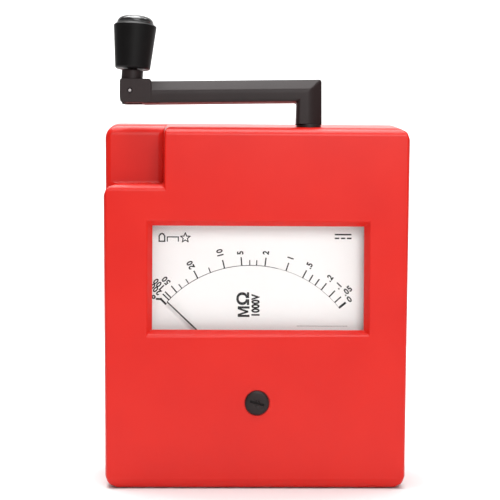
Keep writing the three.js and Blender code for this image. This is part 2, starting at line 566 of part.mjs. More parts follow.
// The lower cap's corner pillars pass through the upper cap and carry the gear plate.
function generatorCap(z0, z1, holes) {
  let cap = block(ROTOR.x - 21, ROTOR.y - 21, z0, ROTOR.x + 21, ROTOR.y + 21, z1);
  cap = cap.subtract(rod(ROTOR.x, ROTOR.y, z0 - 1, z1 + 1, 2.06, 16));
  for (const [sx, sy] of CORNERS) {
    const [x, y] = [ROTOR.x + sx * 18, ROTOR.y + sy * 18];
    cap = holes ? cap.subtract(rod(x, y, z0 - 1, z1 + 1, 1.75, 12)) : cap.add(rod(x, y, z0 + 1, PLATE.lower - 0.1, 1.65, 12));
  }
  return cap;
}
add('generator_cap_lower', generatorCap(86, 89, false), COLOURS.steel, 0.4, 1);
add('generator_cap_upper', generatorCap(127, 130, true), COLOURS.steel, 0.4, 1);

// ---------- electronics and sockets ----------
add('circuit_board', block(-40, 28.5, 10, 48, 30.1, 78), COLOURS.board, 0.5);
[-24, -8, 8].forEach((x, i) => {
  add(`capacitor_${i + 1}`, rodY(x, 24, 12.5, 28.4, 6, 20), COLOURS.blue, 0.4);
});
add('rectifier_block', block(22, 20, 16, 42, 28.4, 34), COLOURS.gloss, 0.4);

for (const [word, z] of SOCKETS) {
  const bush = rodX(SOCKET_Y, z, SOCKET_FACE, -62, 6, 24).add(rodX(SOCKET_Y, z, -71.3, -69, 8.4, 24));
  const core = rodX(SOCKET_Y, z, SOCKET_FACE - 1, -60, 3.2, 20);
  add(`${word}_socket`, bush.subtract(core), word === 'line' ? COLOURS.red : COLOURS.black, 0.4);
  add(`${word}_contact`, rodX(SOCKET_Y, z, SOCKET_FACE + 1, -56, 3.1, 20)
    .subtract(rodX(SOCKET_Y, z, SOCKET_FACE, -60, 2.05, 16)), COLOURS.brass, 0.3, 1);
}

export default group;
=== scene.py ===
"""Looks of the hand-cranked insulation resistance tester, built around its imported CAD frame.

Lengths in this file are millimetres in the part's frame. SCALE turns them into metres.
"""

import json
import math

import bmesh
import bpy
from mathutils import Matrix, Vector


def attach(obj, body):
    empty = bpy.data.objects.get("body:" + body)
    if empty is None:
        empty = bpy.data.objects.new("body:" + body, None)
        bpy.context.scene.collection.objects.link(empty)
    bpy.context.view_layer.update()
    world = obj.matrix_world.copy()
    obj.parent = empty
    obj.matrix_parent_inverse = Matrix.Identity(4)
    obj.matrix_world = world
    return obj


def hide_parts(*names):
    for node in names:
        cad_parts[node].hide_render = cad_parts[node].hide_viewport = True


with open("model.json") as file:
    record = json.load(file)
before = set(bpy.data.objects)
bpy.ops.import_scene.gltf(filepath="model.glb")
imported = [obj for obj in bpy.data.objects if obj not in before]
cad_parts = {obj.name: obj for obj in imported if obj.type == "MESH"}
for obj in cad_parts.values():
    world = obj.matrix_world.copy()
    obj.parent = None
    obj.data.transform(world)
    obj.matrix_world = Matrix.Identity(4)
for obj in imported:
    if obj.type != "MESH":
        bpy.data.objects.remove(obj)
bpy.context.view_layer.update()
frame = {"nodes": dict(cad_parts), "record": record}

SCALE = 0.001

# ---------- dimensions that follow the CAD part ----------
# The fork's left end and the knob's rim and top are drawn up to 1 mm away from the CAD's.
FRONT_Y = -39.5
PARTING_Y = 2.5
REAR_Y = 38.5
SEAM = 0.2
WALL = 2.5
FRONT_SECTION = {"half": 76.8, "foot": 74.85, "height": 180.0}
FRONT_DRAFT = {"side": math.tan(math.radians(1.5)), "top": math.tan(math.radians(7))}
REAR_DRAFT = {"side": math.tan(math.radians(1.5)), "top": math.tan(math.radians(1.5))}
NOTCH = {"x": -46.0, "z": 151.2, "depth": 22.0, "draft": math.tan(math.radians(3.5))}
WINDOW = {"x": 1.0, "z": 104.9, "width": 106.1, "height": 52.0, "bevel": 2.6, "depth": 3.6}
DIAL_Y = FRONT_Y + 12
CRANK = {"x": 26.4, "y": -28.5, "half": 6.0, "foot": 6.3}
BOSS_TOP = 182.2
COLUMN_BOTTOM = 182.45
ARM = {"bottom": 193.8, "shoulder": 199.6, "top": 205.1, "tilt": math.tan(math.radians(1))}
COLUMN = {"inner": 20.1, "shoulder": 27.2, "outer": 32.7}
RIDGE = 2.2
FORK = {"left": -68.8, "right": -52.9, "bottom": 192.4, "top": 204.5, "gap": 5.6}
PIN = Vector((-63.7, -28.5, 198.6))
KNOB_LEAN = math.radians(3.2)
KNOB = {"offset": 0.35, "bottom": 11.2, "rim": 34.2, "top": 38.1, "bottom_radius": 8.9, "rim_radius": 10.8}
ADJUST = {"x": 0.6, "z": 42.7}
SCALE_CENTRE = {"x": -2.4, "z": 53.45}
SCREW_PLACES = [(-66, 13), (66, 13), (-38, 168), (66, 168)]
FOOT_PLACES = [(-56, 30), (56, 30), (-56, 150), (56, 150)]
SOCKETS = [("line", 68), ("earth", 44)]
SOCKET_Y = PARTING_Y + 17

# ---------- roundings and bores ----------
CORNER_ROUND = 6.8
FACE_ROUND = 3.6
TOP_ROUND = 5.4
NOTCH_ROUND = 3.4
NOTCH_CORNER_ROUND = 3.0
CASE_SEGMENTS = 7
SHAFT_BORE = {"radius": 5.0, "bottom": 168, "top": 184}
ADJUST_HOLE = {"radius": 3.2, "depth": 6}
ADJUST_SEAT = {"radius": 6.45, "depth": 0.8}
SCREW_WELL = {"post": 5.6, "radius": 4.1, "depth": 8, "hole": 2.1}
SOCKET_BORE = {"boss": 9, "radius": 6.1, "boss_outer": -75.4, "boss_inner": -71.5}


# ---------- mesh helpers ----------
def link(obj):
    bpy.context.scene.collection.objects.link(obj)
    return obj


def mesh_object(name, points, faces):
    """A mesh from points in millimetres, with every face turned outwards."""
    mesh = bpy.data.meshes.new(name)
    mesh.from_pydata([Vector(p) * SCALE for p in points], [], faces)
    obj = link(bpy.data.objects.new(name, mesh))
    with_bmesh(obj, lambda bm: bmesh.ops.recalc_face_normals(bm, faces=bm.faces))
    return obj


def with_bmesh(obj, action):
    bm = bmesh.new()
    bm.from_mesh(obj.data)
    action(bm)
    bm.to_mesh(obj.data)
    bm.free()


def apply_modifiers(obj):
    """Replaces the object's mesh by its evaluated one, and drops the modifiers."""
    depsgraph = bpy.context.evaluated_depsgraph_get()
    mesh = bpy.data.meshes.new_from_object(obj.evaluated_get(depsgraph))
    obj.modifiers.clear()
    obj.data = mesh
    return obj


def round_edges(obj, widths, segments):
    """Rounds edges by their own radii. widths maps a pair of point numbers to millimetres."""
    largest = max(widths.values())
    wanted = {frozenset(pair): radius / largest for pair, radius in widths.items()}
    weights = obj.data.attributes.new("bevel_weight_edge", "FLOAT", "EDGE")
    for edge in obj.data.edges:
        weights.data[edge.index].value = wanted.get(frozenset(edge.vertices), 0.0)
    bevel = obj.modifiers.new("round", "BEVEL")
    bevel.limit_method = "WEIGHT"
    bevel.width = largest * SCALE
    bevel.segments = segments
    bevel.use_clamp_overlap = False
    bevel.miter_outer = "MITER_SHARP"
    return apply_modifiers(obj)


def boolean(obj, other, operation):
    """Combines the object with another one, and removes the other one."""
    modifier = obj.modifiers.new("boolean", "BOOLEAN")
    modifier.operation = operation
    modifier.solver = "EXACT"
    modifier.object = other
    apply_modifiers(obj)
    bpy.data.objects.remove(other)
    return obj


def cut(obj, cutter):
    return boolean(obj, cutter, "DIFFERENCE")


def add(obj, other):
    return boolean(obj, other, "UNION")


def smooth(obj, angle=32):
    """Smooth shading that stays crisp at sharp edges and flat on large flat faces."""
    def mark(bm):
        for face in bm.faces:
            face.smooth = True
        for edge in bm.edges:
            turn = edge.calc_face_angle(math.pi)
            edge.smooth = turn < math.radians(angle)
    with_bmesh(obj, mark)
    weighted = obj.modifiers.new("normals", "WEIGHTED_NORMAL")
    weighted.keep_sharp = True
    weighted.weight = 100
    return apply_modifiers(obj)


def join(name, objects):
    """One object from several, with its vertices in the part's frame."""
    bm = bmesh.new()
    for obj in objects:
        mesh = obj.data.copy()
        mesh.transform(obj.matrix_world)
        bm.from_mesh(mesh)
        bpy.data.meshes.remove(mesh)
        bpy.data.objects.remove(obj)
    mesh = bpy.data.meshes.new(name)
    bm.to_mesh(mesh)
    bm.free()
    return link(bpy.data.objects.new(name, mesh))


def place(obj, matrix):
    """Moves the object's vertices, and leaves its origin at the frame's origin."""
    obj.data.transform(matrix)
    return obj


def shift(x, y, z):
    """A move by millimetres."""
    return Matrix.Translation(Vector((x, y, z)) * SCALE)


def cylinder(name, start, end, radius, sides=64):
    """A closed cylinder between two points in millimetres."""
    start, end = Vector(start), Vector(end)
    axis = end - start
    turn = axis.to_track_quat("Z", "Y").to_matrix().to_4x4()
    bottom, top = [], []
    for i in range(sides):
        angle = 2 * math.pi * i / sides
        around = Vector((radius * math.cos(angle), radius * math.sin(angle), 0))
        bottom.append(start + turn @ around)
        top.append(end + turn @ around)
    faces = [list(range(sides))[::-1], list(range(sides, 2 * sides))]
    for i in range(sides):
        j = (i + 1) % sides
        faces.append([i, j, sides + j, sides + i])
    return mesh_object(name, bottom + top, faces)


def box(name, low, high):
    """A closed box between two corners in millimetres."""
    xs, ys, zs = zip(low, high)
    points = [(x, y, z) for x in xs for y in ys for z in zs]
    faces = [[0, 1, 3, 2], [4, 6, 7, 5], [0, 4, 5, 1], [2, 3, 7, 6], [0, 2, 6, 4], [1, 5, 7, 3]]
    return mesh_object(name, points, faces)


def lathe(name, profile, sides):
    """A body of revolution about Z from its (radius, z) points, first and last on the axis."""
    points = [(0, 0, profile[0][1])]
    rings = profile[1:-1]
    for radius, z in rings:
        for i in range(sides):
            angle = 2 * math.pi * i / sides
            points.append((radius * math.cos(angle), radius * math.sin(angle), z))
    points.append((0, 0, profile[-1][1]))
    last = len(points) - 1
    faces = []
    for i in range(sides):
        j = (i + 1) % sides
        faces.append([0, 1 + j, 1 + i])
        for k in range(len(rings) - 1):
            low, high = 1 + k * sides, 1 + (k + 1) * sides
            faces.append([low + i, low + j, high + j, high + i])
        top = 1 + (len(rings) - 1) * sides
        faces.append([top + i, top + j, last])
    return mesh_object(name, points, faces)


def arc(centre, radius, start, end, steps):
    """(radius, z) points of a lathe profile's rounding, between two angles in degrees."""
    points = []
    for i in range(steps + 1):
        angle = math.radians(start + (end - start) * i / steps)
        points.append((centre[0] + radius * math.cos(angle), centre[1] + radius * math.sin(angle)))
    return points


# ---------- materials ----------
# Noise scales are per metre, and bump distances are in metres.
COLOUR_PATCHES = 28
POLISH_PATCHES = 60
METAL_PATCHES = 90
METAL_STREAKS = 900
PLASTIC_GRAIN = 2600
GRAIN_DEPTH = 0.00008
FINE_GRAIN_DEPTH = 0.00005


def shader(name, colour, roughness, metallic=0.0):
    material = bpy.data.materials.new(name)
    material.use_nodes = True
    nodes = material.node_tree.nodes
    bsdf = nodes["Principled BSDF"]
    bsdf.inputs["Base Color"].default_value = (*colour, 1)
    bsdf.inputs["Roughness"].default_value = roughness
    bsdf.inputs["Metallic"].default_value = metallic
    return material, bsdf


def node(material, kind, **values):
    made = material.node_tree.nodes.new(kind)
    for key, value in values.items():
        if key in made.inputs:
            made.inputs[key].default_value = value
        else:
            setattr(made, key, value)
    return made


def wire(material, source, output, target, socket):
    material.node_tree.links.new(source.outputs[output], target.inputs[socket])


def object_noise(material, scale, detail):
    place_node = node(material, "ShaderNodeTexCoord")
    noise = node(material, "ShaderNodeTexNoise", Scale=scale, Detail=detail, Roughness=0.5)
    wire(material, place_node, "Object", noise, "Vector")
    return noise


def vary_colour(material, bsdf, dark, light, scale):
    noise = object_noise(material, scale, 3)
    ramp = node(material, "ShaderNodeValToRGB")
    ramp.color_ramp.elements[0].position = 0.3
    ramp.color_ramp.elements[0].color = (*dark, 1)
    ramp.color_ramp.elements[1].position = 0.7
    ramp.color_ramp.elements[1].color = (*light, 1)
    wire(material, noise, "Fac", ramp, "Fac")
    wire(material, ramp, "Color", bsdf, "Base Color")


def vary_roughness(material, bsdf, low, high, scale):
    noise = object_noise(material, scale, 4)
    span = node(material, "ShaderNodeMapRange")
    span.inputs["To Min"].default_value = low
    span.inputs["To Max"].default_value = high
    wire(material, noise, "Fac", span, "Value")
    wire(material, span, "Result", bsdf, "Roughness")


def grain(material, bsdf, scale, strength, distance):
    noise = object_noise(material, scale, 2)
    bump = node(material, "ShaderNodeBump", Strength=strength, Distance=distance)
    wire(material, noise, "Fac", bump, "Height")
    wire(material, bump, "Normal", bsdf, "Normal")


def plastic(name, dark, light, low, high, bump=0.15, grain_scale=PLASTIC_GRAIN, specular=0.5):
    """Moulded plastic between two colours and two roughnesses, with a fine grain."""
    material, bsdf = shader(name, light, high)
    vary_colour(material, bsdf, dark, light, COLOUR_PATCHES)
    vary_roughness(material, bsdf, low, high, POLISH_PATCHES)
    grain(material, bsdf, grain_scale, bump, GRAIN_DEPTH)
    bsdf.inputs["Specular IOR Level"].default_value = specular
    return material


def metal(name, dark, light, low, high, stretch=(1, 1, 1)):
    """Turned or rolled metal: fine streaks along one direction, and uneven polish."""
    material, bsdf = shader(name, light, high, 1.0)
    vary_colour(material, bsdf, dark, light, METAL_PATCHES)
    place_node = node(material, "ShaderNodeTexCoord")
    mapping = node(material, "ShaderNodeMapping")
    mapping.inputs["Scale"].default_value = stretch
    streaks = node(material, "ShaderNodeTexNoise", Scale=METAL_STREAKS, Detail=3.0)
    wire(material, place_node, "Object", mapping, "Vector")
    wire(material, mapping, "Vector", streaks, "Vector")
    span = node(material, "ShaderNodeMapRange")
    span.inputs["To Min"].default_value = low
    span.inputs["To Max"].default_value = high
    wire(material, streaks, "Fac", span, "Value")
    wire(material, span, "Result", bsdf, "Roughness")
    bump = node(material, "ShaderNodeBump", Strength=0.12, Distance=FINE_GRAIN_DEPTH)
    wire(material, streaks, "Fac", bump, "Height")
    wire(material, bump, "Normal", bsdf, "Normal")
    return material


def window_material():
    """Clear acrylic: it lets light straight through, and keeps a faint, slightly uneven gloss."""
    material, bsdf = shader("clear_acrylic", (0.95, 0.97, 0.98), 0.06)
    vary_roughness(material, bsdf, 0.04, 0.09, 40)
    grain(material, bsdf, 120, 0.02, FINE_GRAIN_DEPTH)
    bsdf.inputs["Alpha"].default_value = 0.02
    bsdf.inputs["IOR"].default_value = 1.49
    return material


def shown_plastics():
    """The plastics of the case, the crank and the dial."""
    return {
        "case_red": plastic(
            "case_red", (0.61, 0.009, 0.004), (0.65, 0.012, 0.005), 0.30, 0.38, 0.05, specular=0.33),
        "crank_black": plastic(
            "crank_black", (0.012, 0.007, 0.007), (0.018, 0.010, 0.010), 0.42, 0.52, 0.2, 1500, 0.27),
        "knob_black": plastic(
            "knob_black", (0.002, 0.002, 0.002), (0.004, 0.003, 0.003), 0.40, 0.50, 0.1, 1500, 0.17),
        "black_plastic": plastic(
            "black_plastic", (0.018, 0.016, 0.016), (0.030, 0.027, 0.027), 0.35, 0.5),
        "gloss_black": plastic(
            "gloss_black", (0.008, 0.008, 0.008), (0.014, 0.013, 0.012), 0.16, 0.22, 0.03, specular=0.9),
        "ink": plastic(
            "dial_ink", (0.004, 0.004, 0.004), (0.008, 0.007, 0.007), 0.6, 0.7, specular=0.15),
        "dial_white": plastic(
            "dial_enamel", (0.87, 0.865, 0.85), (0.90, 0.895, 0.88), 0.42, 0.5, 0.04),
        "window": window_material(),
    }


def mechanism_materials():
    """The rubber, the metals and the materials of the mechanism inside the case."""
    return {
        "rubber": plastic(
            "foot_rubber", (0.012, 0.012, 0.012), (0.022, 0.022, 0.022), 0.75, 0.9, 0.4, 900),
        "board": plastic(
            "fibreglass_board", (0.02, 0.12, 0.04), (0.04, 0.18, 0.07), 0.35, 0.5, 0.3, 1200),
        "capacitor_blue": plastic("sleeve_blue", (0.015, 0.04, 0.13), (0.025, 0.06, 0.17), 0.3, 0.4),
        "steel": metal("zinc_steel", (0.50, 0.51, 0.52), (0.66, 0.67, 0.68), 0.24, 0.36, (1, 1, 12)),
        "dull_steel": metal("blackened_steel", (0.34, 0.31, 0.31), (0.46, 0.42, 0.42), 0.35, 0.5),
        "brass": metal("turned_brass", (0.66, 0.46, 0.18), (0.80, 0.60, 0.28), 0.22, 0.34, (1, 12, 1)),
        "iron": metal("sintered_iron", (0.14, 0.14, 0.15), (0.24, 0.24, 0.25), 0.45, 0.6),
        "copper": metal("enamelled_wire", (0.45, 0.16, 0.07), (0.62, 0.27, 0.13), 0.25, 0.4, (1, 1, 30)),
    }


MATERIALS = {**shown_plastics(), **mechanism_materials()}


def finish_piece(obj, body, slot, replaced, material=None):
    """Gives a piece the material of its slot, or the one named, puts it on its body and hides the CAD nodes
    that it stands for.
    """
    obj.data.materials.clear()
    obj.data.materials.append(MATERIALS[material or slot])
    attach(obj, body)
    if replaced:
        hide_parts(*replaced)
    return obj


# ---------- front case ----------
CAVITY_FRONT = 4.4
CAVITY_BACK = 60
WINDOW_TUNNEL = 6


def front_point(side, level, depth, inset):
    """A point of the front shell's outline, on the left (-1) or right (1), at a height and depth."""
    half, foot, height = FRONT_SECTION["half"], FRONT_SECTION["foot"], FRONT_SECTION["height"]
    width = foot + (half - foot) * level / height
    x = side * (width * (1 + FRONT_DRAFT["side"] * depth / half) - inset)
    z = level * (1 + FRONT_DRAFT["top"] * depth / height)
    return (x, FRONT_Y + depth, z)


def front_outline(inset, first, last):
    """The L-shaped form's points: front face, notch floor and parting plane."""
    top = FRONT_SECTION["height"] - inset
    floor = NOTCH["depth"] + inset
    drift = NOTCH["draft"] * floor
    nx, nz = NOTCH["x"] + inset, NOTCH["z"] - inset
    shoulder = front_point(-1, nz, first, inset)
    floor_top = front_point(-1, top, floor, inset)
    floor_shoulder = front_point(-1, nz, floor, inset)
    return [
        front_point(-1, inset, first, inset),
        front_point(1, inset, first, inset),
        front_point(1, top, first, inset),
        (nx, FRONT_Y + first, front_point(1, top, first, inset)[2]),
        (nx, FRONT_Y + first, nz),
        shoulder,
        (floor_shoulder[0], FRONT_Y + floor, nz + drift),
        (nx - drift, FRONT_Y + floor, nz + drift),
        (nx - drift, FRONT_Y + floor, floor_top[2]),
        floor_top,
        front_point(-1, inset, last, inset),
        front_point(1, inset, last, inset),
        front_point(1, top, last, inset),
        front_point(-1, top, last, inset),
    ]


# Faces of the L-shaped form, by the order of front_outline's points.
SIDE_FACES = [
    [0, 10, 11, 1], [1, 11, 12, 2], [2, 12, 13, 9, 8, 3], [0, 5, 6, 9, 13, 10],
    [3, 8, 7, 4], [5, 4, 7, 6], [6, 7, 8, 9], [10, 13, 12, 11],
]
FRONT_FACE = [0, 1, 2, 3, 4, 5]

# The first point of each window ring, after the form's fourteen.
FACE_RING, BEVEL_RING, TUNNEL_RING = 14, 18, 22


def window_ring(grow, y):
    """The window's four corners, grown outwards, at one depth."""
    x, z = WINDOW["x"], WINDOW["z"]
    w, h = WINDOW["width"] / 2 + grow, WINDOW["height"] / 2 + grow
    return [(x - w, y, z - h), (x + w, y, z - h), (x + w, y, z + h), (x - w, y, z + h)]


def front_form():
    """The front shell before it is hollowed, with the window's bevel and the start of its tunnel."""
    points = front_outline(0, 0, PARTING_Y - SEAM / 2 - FRONT_Y)
    points += window_ring(WINDOW["bevel"], FRONT_Y)
    points += window_ring(0, FRONT_Y + WINDOW["depth"])
    points += window_ring(0, FRONT_Y + WINDOW_TUNNEL)
    faces = list(SIDE_FACES)
    faces += [[0, 1, 15, 14], [1, 2, 16, 15], [2, 3, 4, 17, 16], [4, 5, 0, 14, 17]]
    for near, far in ((FACE_RING, BEVEL_RING), (BEVEL_RING, TUNNEL_RING)):
        for i in range(4):
            j = (i + 1) % 4
            faces.append([near + i, near + j, far + j, far + i])
    faces.append([TUNNEL_RING + i for i in range(4)])
    return mesh_object("case_front_shell", points, faces)


def front_roundings():
    """The radius of each edge of the front form, by its pair of point numbers."""
    widths = {
        (0, 10): CORNER_ROUND, (1, 11): CORNER_ROUND, (2, 12): CORNER_ROUND, (9, 13): CORNER_ROUND,
        (5, 6): CORNER_ROUND, (0, 1): FACE_ROUND, (1, 2): FACE_ROUND, (2, 3): TOP_ROUND,
        (0, 5): FACE_ROUND, (5, 4): NOTCH_ROUND, (3, 4): 0.8, (3, 8): NOTCH_CORNER_ROUND, (4, 7): 1.8,
        (7, 8): NOTCH_CORNER_ROUND, (6, 7): 1.6, (8, 9): TOP_ROUND, (6, 9): NOTCH_CORNER_ROUND,
    }
    for i in range(4):
        j = (i + 1) % 4
        widths[(FACE_RING + i, FACE_RING + j)] = 0.8
        widths[(BEVEL_RING + i, BEVEL_RING + j)] = 0.4
        widths[(FACE_RING + i, BEVEL_RING + i)] = 0.5
    return widths


def shaft_bore():
    """The cutter for the crank shaft's bore, upright on the crank's axis."""
    x, y = CRANK["x"], CRANK["y"]
    return cylinder("bore", (x, y, SHAFT_BORE["bottom"]), (x, y, SHAFT_BORE["top"]), SHAFT_BORE["radius"])


def adjuster_cutter(name, size):
    """A cutter that enters the front face around the adjuster's axis."""
    x, z = ADJUST["x"], ADJUST["z"]
    return cylinder(name, (x, FRONT_Y - 1, z), (x, FRONT_Y + size["depth"], z), size["radius"])


def front_case():
    shell = round_edges(front_form(), front_roundings(), CASE_SEGMENTS)
    inside = front_outline(WALL, CAVITY_FRONT, CAVITY_BACK)
    cut(shell, mesh_object("cavity", inside, SIDE_FACES + [FRONT_FACE]))
    cut(shell, shaft_bore())
    cut(shell, adjuster_cutter("hole", ADJUST_HOLE))
    cut(shell, adjuster_cutter("seat", ADJUST_SEAT))
    return smooth(shell)


def crank_collar():
    """The fixed black collar that the column turns on, sunk into the sloping top."""
    radius = CRANK["foot"] - 0.05
    bottom = BOSS_TOP - 2.0
    profile = [(0, bottom), (radius, bottom)]
    profile += arc((radius - 0.4, BOSS_TOP - 0.4), 0.4, 0, 90, 5) + [(0, BOSS_TOP)]
    body = lathe("crank_collar", profile, 96)
    place(body, shift(CRANK["x"], CRANK["y"], 0))
    return smooth(cut(body, shaft_bore()))


# ---------- rear case ----------
def rear_point(side, level, depth, inset):
    """The same for the rear shell. depth counts from the back face towards the parting plane."""
    grown = FRONT_DRAFT["side"] * (PARTING_Y - FRONT_Y)
    back = REAR_DRAFT["side"] * (REAR_Y - PARTING_Y)
    half = FRONT_SECTION["half"] + grown - back
    foot = FRONT_SECTION["foot"] * (1 + grown / FRONT_SECTION["half"]) - back
    height = rear_height()
    width = foot + (half - foot) * level / height
    x = side * (width * (1 + REAR_DRAFT["side"] * depth / half) - inset)
    z = level * (1 + REAR_DRAFT["top"] * depth / height)
    return (x, REAR_Y - depth, z)


def rear_height():
    raised = FRONT_DRAFT["top"] * (PARTING_Y - FRONT_Y)
    return FRONT_SECTION["height"] + raised - REAR_DRAFT["top"] * (REAR_Y - PARTING_Y)


def rear_form(name, inset, first, last):
    """The rear shell's block, or with an inset its cavity, between two depths."""
    top = rear_height() - inset
    points = []
    for depth in (first, last):
        for side, level in ((-1, inset), (1, inset), (1, top), (-1, top)):
            points.append(rear_point(side, level, depth, inset))
    faces = [[0, 1, 2, 3], [4, 7, 6, 5]] + [[i, (i + 1) % 4, 4 + (i + 1) % 4, 4 + i] for i in range(4)]
    return mesh_object(name, points, faces)


def rear_case():
    shell = rear_form("case_rear_shell", 0, 0, REAR_Y - PARTING_Y - SEAM / 2)
    widths = {(i, 4 + i): CORNER_ROUND for i in range(4)}
    widths.update({(i, (i + 1) % 4): FACE_ROUND for i in range(4)})
    round_edges(shell, widths, CASE_SEGMENTS)
    cut(shell, rear_form("cavity", WALL, WALL, CAVITY_BACK))
    for x, z in SCREW_PLACES:
        screw_post(shell, x, z)
    for _, z in SOCKETS:
        socket_seat(shell, z)
    return smooth(shell)


def screw_post(shell, x, z):
    """Adds one hollow screw post to the rear shell, with the well that the screw's head sinks into."""
    well = REAR_Y - SCREW_WELL["depth"]
    post = cylinder("post", (x, PARTING_Y + SEAM / 2, z), (x, REAR_Y - 1, z), SCREW_WELL["post"], 40)
    add(shell, post)
    cut(shell, cylinder("well", (x, well, z), (x, REAR_Y + 1, z), SCREW_WELL["radius"], 48))
    hole = cylinder("hole", (x, PARTING_Y - 1, z), (x, REAR_Y, z), SCREW_WELL["hole"], 32)
    cut(shell, hole)


def socket_seat(shell, z):
    """Adds the boss behind the left wall that holds one socket, and bores it."""
    outer, inner = SOCKET_BORE["boss_outer"], SOCKET_BORE["boss_inner"]
    boss = cylinder("boss", (outer, SOCKET_Y, z), (inner, SOCKET_Y, z), SOCKET_BORE["boss"], 48)
    add(shell, boss)
    bore = cylinder("bore", (-90, SOCKET_Y, z), (-70, SOCKET_Y, z), SOCKET_BORE["radius"], 48)
    cut(shell, bore)


# ---------- small case parts ----------
TURN_TO_BACK = Matrix.Rotation(-math.pi / 2, 4, "X")
SCREW_HEAD_Y = REAR_Y - 5.2


def screw(name, x, z):
    """A slotted cheese-head screw with a softened rim, deep in its well."""
    shank = [(0, -36), (1.25, -36), (1.25, -2.6)]
    head = [(3.6, -2.6)] + arc((3.2, -0.4), 0.4, 0, 90, 4) + [(0, 0)]
    body = lathe(name, shank + head, 40)
    cut(body, box("slot", (-5, -0.5, -1.0), (5, 0.5, 1)))
    place(body, shift(x, SCREW_HEAD_Y, z) @ TURN_TO_BACK)
    return smooth(body)


def foot(name, x, z):
    """A round rubber foot with a softened edge and a small moulded dimple."""
    profile = [(0, 0.05), (6, 0.05)] + arc((5.2, 1.7), 0.8, 0, 90, 5) + [(1.6, 2.5), (1.3, 2.2), (0, 2.2)]
    body = lathe(name, profile, 64)
    place(body, shift(x, REAR_Y, z) @ TURN_TO_BACK)
    return smooth(body)


def socket_ring(name, z):
    """A shrouded socket: a flanged tube with a rounded mouth, along X."""
    outer = arc((5.2, 73.0), 0.7, 0, 90, 5)
    mouth = arc((4.0, 73.0), 0.7, 90, 180, 5)
    profile = [(0, 60.5), (6, 60.5), (6, 62)] + outer + mouth + [(3.3, 60.9), (0, 60.9)]
    body = lathe(name, profile, 64)
    turn = Matrix.Rotation(-math.pi / 2, 4, "Y")
    place(body, shift(0, SOCKET_Y, z) @ turn)
    return smooth(body)


# ---------- crank arm ----------
COLUMN_FLARE = {"inner": -0.35, "shoulder": 0.15, "outer": 0.15}
FORK_HALF = 6.15
PIN_HOLE = {"radius": 0.86, "sink_radius": 1.3, "sink_depth": 1.3}
SHAFT_SOCKET = {"radius": 3.1, "top": 196.3}


def arm_section():
    """(outward, along Y) corners of the arm's section, from the inner front corner round."""
    half = CRANK["half"]
    return [("inner", -half), ("shoulder", -half), ("outer", -RIDGE), ("outer", RIDGE),
            ("shoulder", half), ("inner", half)]


def arm_form():
    """The bar and the column: one section at the fork, at the mitred corner and at the column's foot."""
    arm_level = {"inner": ARM["bottom"], "shoulder": ARM["shoulder"], "outer": ARM["top"]}
    points = []
    start = FORK["right"] - 4
    for key, y in arm_section():
        drop = ARM["tilt"] * (start - CRANK["x"])
        points.append((start, CRANK["y"] + y, arm_level[key] + drop))
    for key, y in arm_section():
        drop = ARM["tilt"] * (COLUMN[key] - CRANK["x"])
        points.append((COLUMN[key], CRANK["y"] + y, arm_level[key] + drop))
    for key, y in arm_section():
        points.append((COLUMN[key] + COLUMN_FLARE[key], CRANK["y"] + y, COLUMN_BOTTOM))
    faces = [[0, 1, 2, 3, 4, 5], [17, 16, 15, 14, 13, 12]]
    for ring in (0, 6):
        for i in range(6):
            j = (i + 1) % 6
            faces.append([ring + i, ring + 6 + i, ring + 6 + j, ring + j])
    return mesh_object("crank_arm_body", points, faces)


def arm_roundings():
    """The radius of each edge of the arm, by its pair of point numbers."""
    widths = {}
    for ring in (0, 6):
        for i in range(6):
            widths[(ring + i, ring + 6 + i)] = 0.9 if i in (1, 4) else 0.6
    widths.update({(6, 12): 2.6, (11, 17): 2.6, (7, 13): 2.8, (10, 16): 2.8})
    widths.update({(6, 11): 1.2, (7, 8): 0.9, (9, 10): 0.9, (8, 9): 1.4})
    return widths


def cut_fork(bar):
    """Opens the fork, bores it for the pin, and sinks a ring and a short groove into its front."""
    y = CRANK["y"]
    gap = FORK["gap"] / 2
    cut(bar, box("gap", (FORK["left"] - 5, y - gap, 180), (PIN.x + 5.8, y + gap, 220)))
    hole = cylinder("pin_hole", (PIN.x, y - 10, PIN.z), (PIN.x, y + 10, PIN.z), PIN_HOLE["radius"], 32)
    cut(bar, hole)
    front = y - FORK_HALF
    start, end = (PIN.x, front - 1, PIN.z), (PIN.x, front + PIN_HOLE["sink_depth"], PIN.z)
    cut(bar, cylinder("pin_sink", start, end, PIN_HOLE["sink_radius"], 32))
    groove = box("groove", (PIN.x - 0.15, front - 1, PIN.z - 4.6), (PIN.x + 0.15, front + 0.2, PIN.z - 1.6))
    cut(bar, groove)


def crank_arm():
    bar = round_edges(arm_form(), arm_roundings(), 4)
    add(bar, fork_block())
    cut_fork(bar)
    start, end = (CRANK["x"], CRANK["y"], 180), (CRANK["x"], CRANK["y"], SHAFT_SOCKET["top"])
    cut(bar, cylinder("bore", start, end, SHAFT_SOCKET["radius"], 40))
    return smooth(bar, 28)


def fork_block():
    """The arm's end block, with its lower outer corner well rounded."""
    left, right, bottom, top = FORK["left"], FORK["right"], FORK["bottom"], FORK["top"]
    points = []
    for y in (CRANK["y"] - FORK_HALF, CRANK["y"] + FORK_HALF):
        points += [(left, y, bottom), (right, y, bottom + 0.2), (right, y, top), (left, y, top)]
    faces = [[0, 1, 2, 3], [4, 7, 6, 5]] + [[i, 4 + i, 4 + (i + 1) % 4, (i + 1) % 4] for i in range(4)]
    block = mesh_object("fork", points, faces)
    widths = {(0, 4): 4.0, (1, 5): 0.4, (2, 6): 2.0, (3, 7): 1.3}
    for i in range(4):
        widths[(i, (i + 1) % 4)] = 0.45
        widths[(4 + i, 4 + (i + 1) % 4)] = 0.45
    return round_edges(block, widths, 5)


